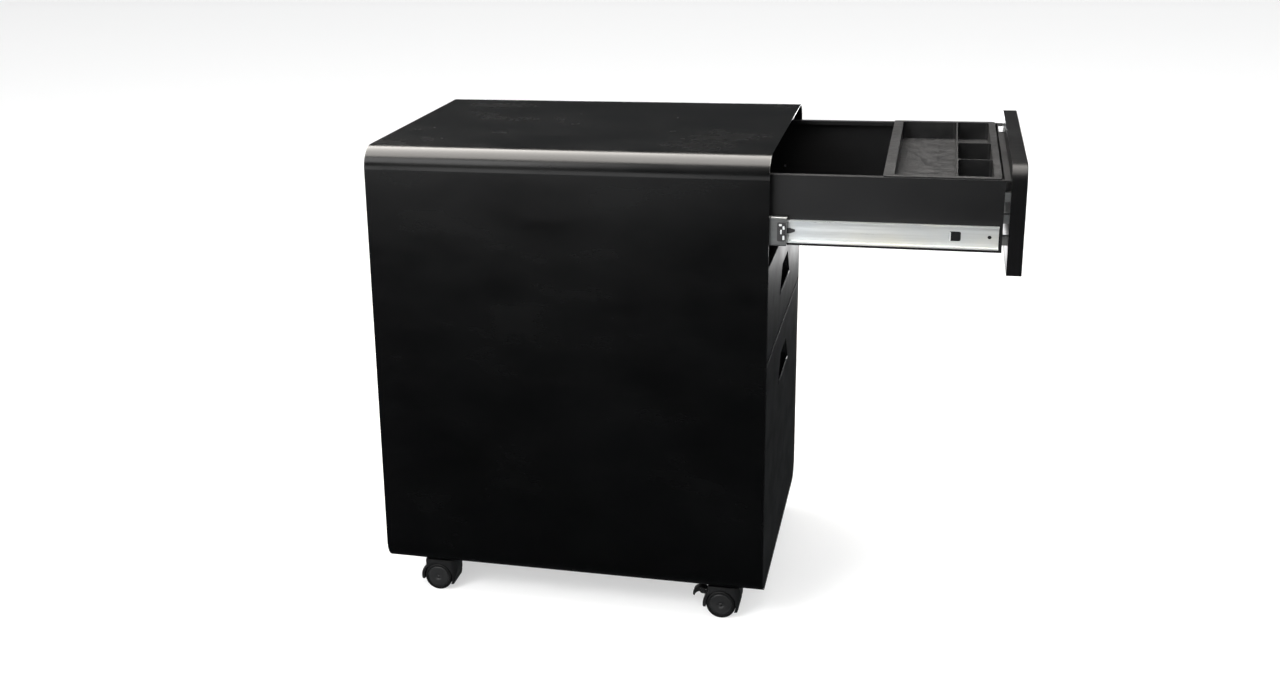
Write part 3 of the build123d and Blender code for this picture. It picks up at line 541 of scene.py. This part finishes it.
def add_stage_end(drawer, label, side, y, face, level, materials):
    """The moulded cap on the outside of a stage's front end, and the stops there in a lighter zinc that is a
    painted highlight.
    """
    cap = rounded_rectangle(y + 1.2 * MM, y + 11 * MM, level - 11.5 * MM, level + 11.5 * MM, 1.5 * MM)
    plate(f"{drawer}_stage_cap_{label}", cap, face, face + side * 0.7 * MM,
          materials["bumper_plastic"], f"{drawer}_stage", ease=0.2 * MM)
    outside = face + side * 0.7 * MM
    for index, (start, low, long, high) in enumerate(STAGE_STOPS):
        stop = rounded_rectangle(y + start * MM, y + (start + long) * MM, level + low * MM,
                                 level + (low + high) * MM, 0.5 * MM)
        plate(f"{drawer}_stage_stop_{label}_{index + 1}", stop, outside, outside + side * 0.5 * MM,
              materials["highlight_zinc"], f"{drawer}_stage", ease=0.15 * MM)


def add_pull_lips(materials):
    """The rolled lower lip of each finger pull, which catches the light; its lighter paint is a painted
    highlight.
    """
    for drawer, sunk in zip(DRAWERS, (LIP_RADIUS, LIP_PROUD, LIP_PROUD)):
        low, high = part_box(f"{drawer}_front")
        y = low[1] + sunk
        z = high[2] - LIP_BELOW_TOP
        path = [Vector((x * MM, y, z)) for x in LIP_STATIONS]
        bead(f"{drawer}_pull_lip", path, LIP_RADIUS, materials["edge_highlight_paint"],
             f"{drawer}_drawer")


def soften_nodes():
    """Soft edges on the moulded and folded CAD pieces."""
    widths = {"pencil_tray": 0.5, "lock_housing": 0.3, "lock_plug": 0.25}
    for drawer in DRAWERS:
        widths[f"{drawer}_front"] = 0.35
        widths[f"{drawer}_box"] = 0.25
        widths[f"{drawer}_box_front_wall"] = 0.25
        widths[f"{drawer}_slide_inner"] = 0.2
        widths[f"{drawer}_slide_outer"] = 0.2
        widths[f"{drawer}_slide_stage"] = 0.2
        widths[f"{drawer}_front_spacers"] = 0.3
    for place in CASTERS:
        widths[f"hood_{place}"] = 0.6
        if place.startswith("front"):
            widths[f"brake_{place}"] = 0.7
    for name, width in widths.items():
        soften(nodes[name], width * MM)


materials = make_materials()
paint_frame(materials)
soften_nodes()
add_casing_edges(materials)
add_wheel_caps(materials)
add_slide_details(materials)
add_pull_lips(materials)
add_camera()
add_world()
add_floor()
add_backdrop()
bpy.context.scene.view_settings.view_transform = "Standard"
add_softbox("ceiling", (2.0, 0.0, 9.0), (2.0, 0.0, 0), (26.0, 26.0), 2300, glossy=False)
add_softbox("left_wall", (-6.0, 1.0, 3.2), (0, 0, 0.2), (8.0, 5.0), 330, glossy=False)
add_softbox("key", (-2.6, 1.4, 2.6), (0, 0, 0.2), (1.4, 1.4), 95)
add_softbox("sheen", (0.05, 0.55, 2.7), (0, 0, 0.5), (2.9, 3.2), 1150, tint=WARM, diffuse=False)
add_softbox("low_sheen", (-2.0, 0.7, 2.2), (0, 0, 0.5), (0.3, 3.2), 12, tint=WARM, diffuse=False)
add_softbox("slide_glow", (-3.0, 0.8, 0.5), (-0.2, -0.3, 0.5), (1.6, 0.8), 40, diffuse=False)
add_softbox("right_strip", (3.0, 0.3, 0.3), (0, 0, 0.3), (2.2, 0.5), 20, diffuse=False)
for side, x, y, watts in (("front", -0.4, -2.4, 10), ("right", 2.6, 0.0, 70), ("rear", 0.0, 2.4, 70)):
    add_softbox(f"{side}_card", (x, y, CARD_HEIGHT), (x, y, 3.0), CARD_SIZE, watts, diffuse=False)
add_softbox("front_fill", (1.5, -4.0, 2.0), (0, 0, 0.3), (2.0, 2.0), 60, glossy=False)
